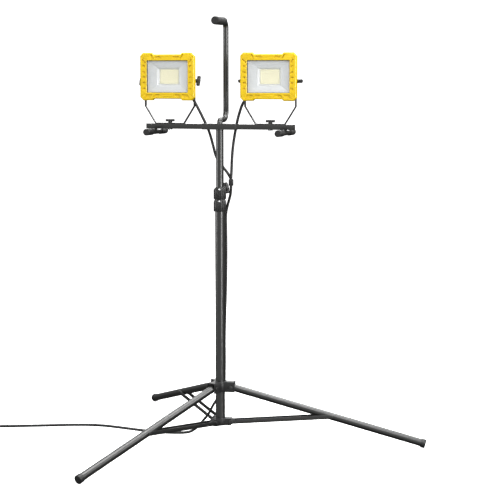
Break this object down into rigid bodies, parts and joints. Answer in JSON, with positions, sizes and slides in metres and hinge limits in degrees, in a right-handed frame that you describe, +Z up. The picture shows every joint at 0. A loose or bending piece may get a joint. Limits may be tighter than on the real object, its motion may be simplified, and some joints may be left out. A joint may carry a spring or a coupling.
{
  "type": "tripod work light",
  "caption": "Twin LED flood lamps on a crossbar with carry handle, on a telescopic mast and folding tripod.",
  "frame": {"origin": "on the floor, on the axis of the mast", "axes": "+Z up along the mast, X along the crossbar, -Y the way the lamps face at rest"},
  "size_m": [1.4231, 1.0396, 1.2373],
  "materials": {
    "powder_coated_steel": "satin grey-black powder coat",
    "zinc_plated_steel": "zinc plated",
    "black_nylon": "moulded, fine texture",
    "black_rubber": "matt",
    "yellow_abs": "moulded, semi-gloss",
    "tempered_glass": "clear",
    "bright_aluminium": "pressed sheet, bright",
    "cast_aluminium_black": "die cast, black paint",
    "led_phosphor": "silicone phosphor over the light source",
    "rubber_cable": "matt black sheath"
  },
  "bodies": {
    "mast": {"mast_lower_tube": "powder_coated_steel", "bottom_bracket": "black_nylon", "mast_clamp_body": "black_nylon", "mast_clamp_screws": "zinc_plated_steel", "supply_cord": "rubber_cable", "supply_cord_coil": "rubber_cable", "mains_plug": "rubber_cable"},
    "clamp_knob": {"mast_clamp_knob": "black_nylon"},
    "hub": {"hub_collar": "black_nylon", "hub_pins": "powder_coated_steel"},
    "upper_frame": {"mast_upper_tube": "powder_coated_steel", "mast_slide_bush": "black_nylon", "crossbar": "powder_coated_steel", "crossbar_plugs": "black_nylon", "centre_sleeve": "powder_coated_steel", "handle_tube": "powder_coated_steel", "handle_grip": "black_rubber", "rest_tubes": "powder_coated_steel", "rest_tube_caps": "black_rubber", "yoke_bolts": "zinc_plated_steel", "lamp_cable_left": "rubber_cable", "lamp_cable_right": "rubber_cable", "cord_splitter": "rubber_cable"},
    "leg_front_left": {"leg_tube_front_left": "powder_coated_steel", "foot_cap_front_left": "black_nylon"},
    "strut_front_left": {"strut_front_left": "powder_coated_steel"},
    "leg_right": {"leg_tube_right": "powder_coated_steel", "foot_cap_right": "black_nylon"},
    "strut_right": {"strut_right": "powder_coated_steel"},
    "leg_rear_left": {"leg_tube_rear_left": "powder_coated_steel", "foot_cap_rear_left": "black_nylon"},
    "strut_rear_left": {"strut_rear_left": "powder_coated_steel"},
    "yoke_left": {"yoke_left": "powder_coated_steel", "lamp_lead_left": "rubber_cable"},
    "base_knob_left": {"base_knob_left": "black_nylon"},
    "head_left": {"bezel_left": "yellow_abs", "lens_left": "tempered_glass", "lens_gasket_left": "black_rubber", "reflector_left": "bright_aluminium", "led_board_left": "led_phosphor", "rear_housing_left": "cast_aluminium_black", "case_screws_left": "zinc_plated_steel", "cable_gland_left": "black_nylon"},
    "side_knob_left_left": {"side_knob_left_left": "black_nylon"},
    "side_knob_left_right": {"side_knob_left_right": "black_nylon"},
    "yoke_right": {"yoke_right": "powder_coated_steel", "lamp_lead_right": "rubber_cable"},
    "base_knob_right": {"base_knob_right": "black_nylon"},
    "head_right": {"bezel_right": "yellow_abs", "lens_right": "tempered_glass", "lens_gasket_right": "black_rubber", "reflector_right": "bright_aluminium", "led_board_right": "led_phosphor", "rear_housing_right": "cast_aluminium_black", "case_screws_right": "zinc_plated_steel", "cable_gland_right": "black_nylon"},
    "side_knob_right_left": {"side_knob_right_left": "black_nylon"},
    "side_knob_right_right": {"side_knob_right_right": "black_nylon"}
  },
  "joints": [
    {"name": "mast_extend", "type": "slide", "parent": "mast", "child": "upper_frame", "axis": [0, 0, 1], "range_m": [-0.07, 0.4], "deforming": ["supply_cord", "lamp_cable_left", "lamp_cable_right"]},
    {"name": "clamp_knob_turn", "type": "hinge", "parent": "mast", "child": "clamp_knob", "pos_m": [0.00968, 0.03881, 0.7457], "axis": [0.2419, 0.9703, 0], "range_deg": [0, 180]},
    {"name": "hub_slide", "type": "slide", "parent": "mast", "child": "hub", "axis": [0, 0, 1], "range_m": [0, 0.4926]},
    {"name": "leg_hinge_front_left", "type": "hinge", "parent": "hub", "child": "leg_front_left", "pos_m": [-0.01172, -0.03085, 0.1645], "axis": [0.9348, -0.3551, 0], "range_deg": [0, 71.46]},
    {"name": "strut_hinge_front_left", "type": "hinge", "parent": "leg_front_left", "child": "strut_front_left", "pos_m": [-0.11563, -0.3044, 0.08588], "axis": [0.9348, -0.3551, 0], "range_deg": [-152.67, 0]},
    {"name": "leg_hinge_right", "type": "hinge", "parent": "hub", "child": "leg_right", "pos_m": [0.03257, 0.00528, 0.1645], "axis": [-0.1599, 0.9871, 0], "range_deg": [0, 71.46]},
    {"name": "strut_hinge_right", "type": "hinge", "parent": "leg_right", "child": "strut_right", "pos_m": [0.32144, 0.05206, 0.08588], "axis": [-0.1599, 0.9871, 0], "range_deg": [-152.67, 0]},
    {"name": "leg_hinge_rear_left", "type": "hinge", "parent": "hub", "child": "leg_rear_left", "pos_m": [-0.02086, 0.02557, 0.1645], "axis": [-0.7749, -0.632, 0], "range_deg": [0, 71.46]},
    {"name": "strut_hinge_rear_left", "type": "hinge", "parent": "leg_rear_left", "child": "strut_rear_left", "pos_m": [-0.2058, 0.25234, 0.08588], "axis": [-0.7749, -0.632, 0], "range_deg": [-152.67, 0]},
    {"name": "head_pan_left", "type": "hinge", "parent": "upper_frame", "child": "yoke_left", "pos_m": [-0.1514, 0, 0.9335], "axis": [0, 0, 1], "range_deg": [-90, 90]},
    {"name": "head_tilt_left", "type": "hinge", "parent": "yoke_left", "child": "head_left", "pos_m": [-0.1514, 0, 1.055], "axis": [-1, 0, 0], "range_deg": [-4, 120], "deforming": ["lamp_lead_left"]},
    {"name": "base_knob_turn_left", "type": "hinge", "parent": "upper_frame", "child": "base_knob_left", "pos_m": [-0.1514, 0, 0.94], "axis": [0, 0, 1], "range_deg": [0, 180]},
    {"name": "side_knob_turn_left_left", "type": "hinge", "parent": "head_left", "child": "side_knob_left_left", "pos_m": [-0.2344, 0, 1.055], "axis": [-1, 0, 0], "range_deg": [0, 180]},
    {"name": "side_knob_turn_left_right", "type": "hinge", "parent": "head_left", "child": "side_knob_left_right", "pos_m": [-0.0684, 0, 1.055], "axis": [1, 0, 0], "range_deg": [0, 180]},
    {"name": "head_pan_right", "type": "hinge", "parent": "upper_frame", "child": "yoke_right", "pos_m": [0.1514, 0, 0.9335], "axis": [0, 0, 1], "range_deg": [-90, 90]},
    {"name": "head_tilt_right", "type": "hinge", "parent": "yoke_right", "child": "head_right", "pos_m": [0.1514, 0, 1.055], "axis": [-1, 0, 0], "range_deg": [-4, 120], "deforming": ["lamp_lead_right"]},
    {"name": "base_knob_turn_right", "type": "hinge", "parent": "upper_frame", "child": "base_knob_right", "pos_m": [0.1514, 0, 0.94], "axis": [0, 0, 1], "range_deg": [0, 180]},
    {"name": "side_knob_turn_right_left", "type": "hinge", "parent": "head_right", "child": "side_knob_right_left", "pos_m": [0.0684, 0, 1.055], "axis": [-1, 0, 0], "range_deg": [0, 180]},
    {"name": "side_knob_turn_right_right", "type": "hinge", "parent": "head_right", "child": "side_knob_right_right", "pos_m": [0.2344, 0, 1.055], "axis": [1, 0, 0], "range_deg": [0, 180]}
  ],
  "couplings": [
    {"joint": "leg_hinge_front_left", "follows": "hub_slide", "rad_per_m": 2.5143},
    {"joint": "strut_hinge_front_left", "follows": "hub_slide", "rad_per_m": -5.3914},
    {"joint": "leg_hinge_right", "follows": "hub_slide", "rad_per_m": 2.5143},
    {"joint": "strut_hinge_right", "follows": "hub_slide", "rad_per_m": -5.3914},
    {"joint": "leg_hinge_rear_left", "follows": "hub_slide", "rad_per_m": 2.5143},
    {"joint": "strut_hinge_rear_left", "follows": "hub_slide", "rad_per_m": -5.3914}
  ]
}
